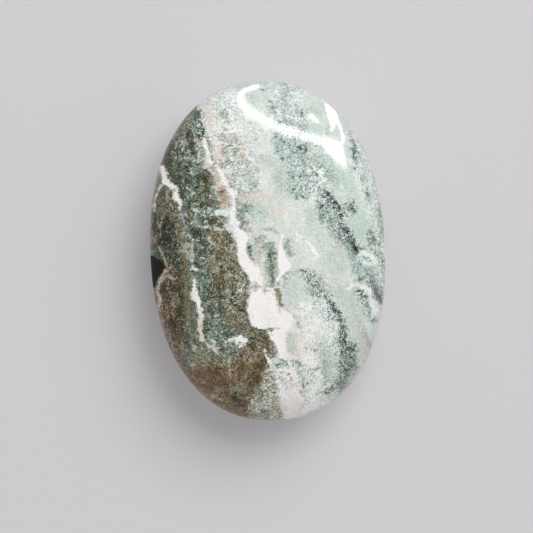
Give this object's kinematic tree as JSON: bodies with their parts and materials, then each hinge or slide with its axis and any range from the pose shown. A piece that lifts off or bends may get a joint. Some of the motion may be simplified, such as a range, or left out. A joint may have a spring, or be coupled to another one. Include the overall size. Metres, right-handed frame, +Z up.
{
  "type": "palm stone",
  "caption": "Smooth, flattened oval stone that fits the palm, polished all over, thickest in the middle with a full round rim, lying on a small flat spot.",
  "frame": {"origin": "middle of the small flat spot that the stone lies on", "axes": "+X across the stone, +Y along its length, +Z up through its thickness, out of the face with the white veins"},
  "size_m": [0.054, 0.078, 0.025],
  "materials": {
    "polished_stone": "polished"
  },
  "bodies": {
    "root": {"palm_stone": "polished_stone"}
  },
  "joints": []
}
